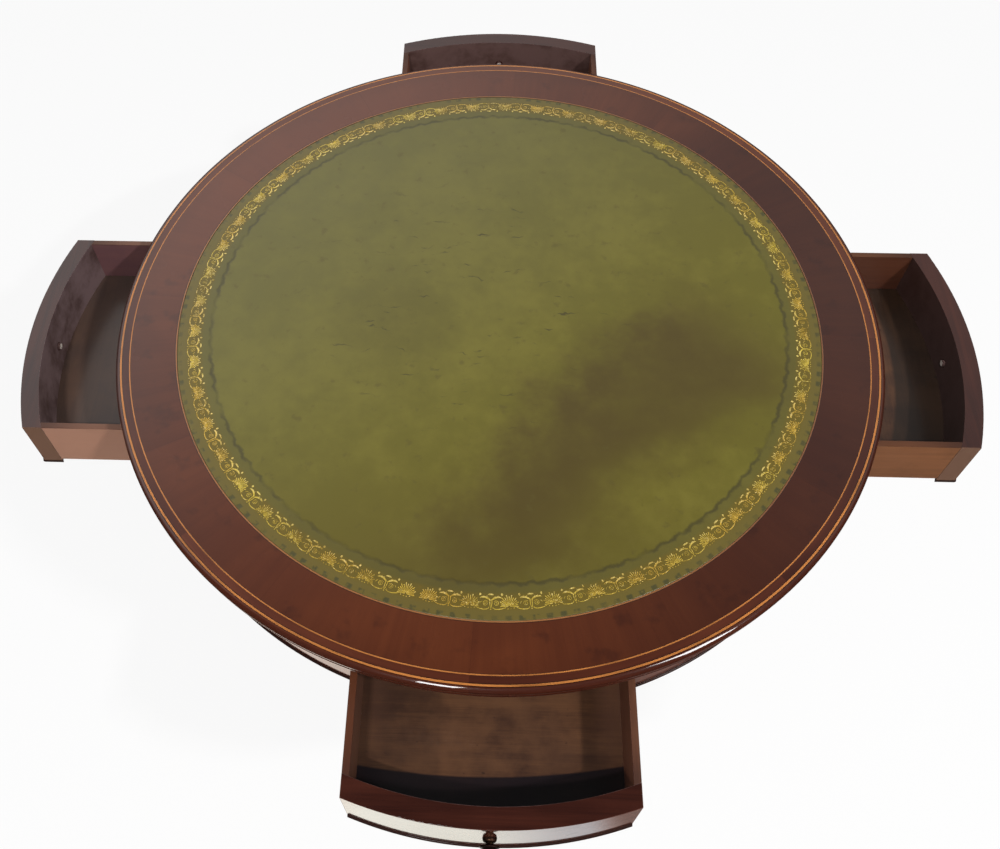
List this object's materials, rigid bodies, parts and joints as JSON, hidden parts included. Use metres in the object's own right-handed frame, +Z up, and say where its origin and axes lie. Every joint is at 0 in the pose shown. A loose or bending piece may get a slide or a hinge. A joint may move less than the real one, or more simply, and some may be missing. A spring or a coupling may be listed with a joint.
{
  "type": "drum desk",
  "caption": "Round mahogany drum desk with a tooled green leather top, bow-fronted drawers with turned knobs, and a turned pedestal on swept legs with castors.",
  "frame": {"origin": "on the floor, on the column's axis, midway between opposite drawers", "axes": "+Z up along the column; -Y towards the front drawer; +X towards the right drawer"},
  "size_m": [1.399, 1.375, 0.762],
  "materials": {
    "mahogany": "polished, french polished gloss",
    "crossband": "polished crossbanded veneer",
    "stringing": "polished boxwood",
    "green_leather": "waxed, gilt and blind tooled",
    "drawer_front": "polished, french polished gloss",
    "drawer_lining": "stained, low sheen",
    "drawer_bottom": "stained, low sheen",
    "carcase_wood": "unpolished",
    "knob_brass": "dark antique patina",
    "castor_brass": "worn polish",
    "steel": "dull steel"
  },
  "bodies": {
    "pedestal": {"column": "mahogany", "bearer": "mahogany", "spindle": "steel", "leg_plate": "steel", "plate_screws": "steel", "castor_cups": "castor_brass", "right_leg": "mahogany", "back_leg": "mahogany", "left_leg": "mahogany", "front_leg": "mahogany"},
    "drum": {"top_board": "carcase_wood", "edge_band": "mahogany", "crossband": "crossband", "stringing": "stringing", "leather_panel": "green_leather", "upper_board": "mahogany", "lower_board": "carcase_wood", "drawer_cheeks": "carcase_wood", "core_block": "carcase_wood", "top_screws": "steel", "frieze_right_back": "mahogany", "frieze_left_back": "mahogany", "frieze_left_front": "mahogany", "frieze_right_front": "mahogany"},
    "right_drawer": {"right_drawer_front": "drawer_front", "right_drawer_left_side": "drawer_lining", "right_drawer_right_side": "drawer_lining", "right_drawer_back": "drawer_lining", "right_drawer_bottom": "drawer_bottom", "right_drawer_knob": "knob_brass"},
    "right_castor": {"right_castor_fork": "castor_brass", "right_castor_axle": "steel"},
    "right_wheel": {"right_castor_wheel": "castor_brass"},
    "back_drawer": {"back_drawer_front": "drawer_front", "back_drawer_left_side": "drawer_lining", "back_drawer_right_side": "drawer_lining", "back_drawer_back": "drawer_lining", "back_drawer_bottom": "drawer_bottom", "back_drawer_knob": "knob_brass"},
    "back_castor": {"back_castor_fork": "castor_brass", "back_castor_axle": "steel"},
    "back_wheel": {"back_castor_wheel": "castor_brass"},
    "left_drawer": {"left_drawer_front": "drawer_front", "left_drawer_left_side": "drawer_lining", "left_drawer_right_side": "drawer_lining", "left_drawer_back": "drawer_lining", "left_drawer_bottom": "drawer_bottom", "left_drawer_knob": "knob_brass"},
    "left_castor": {"left_castor_fork": "castor_brass", "left_castor_axle": "steel"},
    "left_wheel": {"left_castor_wheel": "castor_brass"},
    "front_drawer": {"front_drawer_front": "drawer_front", "front_drawer_left_side": "drawer_lining", "front_drawer_right_side": "drawer_lining", "front_drawer_back": "drawer_lining", "front_drawer_bottom": "drawer_bottom", "front_drawer_knob": "knob_brass"},
    "front_castor": {"front_castor_fork": "castor_brass", "front_castor_axle": "steel"},
    "front_wheel": {"front_castor_wheel": "castor_brass"}
  },
  "joints": [
    {"name": "drum_turn", "type": "hinge", "parent": "pedestal", "child": "drum", "pos_m": [0, 0, 0.6052], "axis": [0, 0, 1], "continuous": true},
    {"name": "right_drawer_slide", "type": "slide", "parent": "drum", "child": "right_drawer", "axis": [1, 0, 0], "range_m": [-0.174, 0.076]},
    {"name": "right_castor_swivel", "type": "hinge", "parent": "pedestal", "child": "right_castor", "pos_m": [0.356, 0, 0.0427], "axis": [0, 0, 1], "continuous": true},
    {"name": "right_wheel_roll", "type": "hinge", "parent": "right_castor", "child": "right_wheel", "pos_m": [0.372, 0, 0.017], "axis": [0, 1, 0], "continuous": true},
    {"name": "back_drawer_slide", "type": "slide", "parent": "drum", "child": "back_drawer", "axis": [0, 1, 0], "range_m": [-0.162, 0.088]},
    {"name": "back_castor_swivel", "type": "hinge", "parent": "pedestal", "child": "back_castor", "pos_m": [0, 0.356, 0.0427], "axis": [0, 0, 1], "continuous": true},
    {"name": "back_wheel_roll", "type": "hinge", "parent": "back_castor", "child": "back_wheel", "pos_m": [0, 0.372, 0.017], "axis": [-1, 0, 0], "continuous": true},
    {"name": "left_drawer_slide", "type": "slide", "parent": "drum", "child": "left_drawer", "axis": [-1, 0, 0], "range_m": [-0.174, 0.076]},
    {"name": "left_castor_swivel", "type": "hinge", "parent": "pedestal", "child": "left_castor", "pos_m": [-0.356, 0, 0.0427], "axis": [0, 0, 1], "continuous": true},
    {"name": "left_wheel_roll", "type": "hinge", "parent": "left_castor", "child": "left_wheel", "pos_m": [-0.372, 0, 0.017], "axis": [0, -1, 0], "continuous": true},
    {"name": "front_drawer_slide", "type": "slide", "parent": "drum", "child": "front_drawer", "axis": [0, -1, 0], "range_m": [-0.162, 0.088]},
    {"name": "front_castor_swivel", "type": "hinge", "parent": "pedestal", "child": "front_castor", "pos_m": [0, -0.356, 0.0427], "axis": [0, 0, 1], "continuous": true},
    {"name": "front_wheel_roll", "type": "hinge", "parent": "front_castor", "child": "front_wheel", "pos_m": [0, -0.372, 0.017], "axis": [1, 0, 0], "continuous": true}
  ]
}
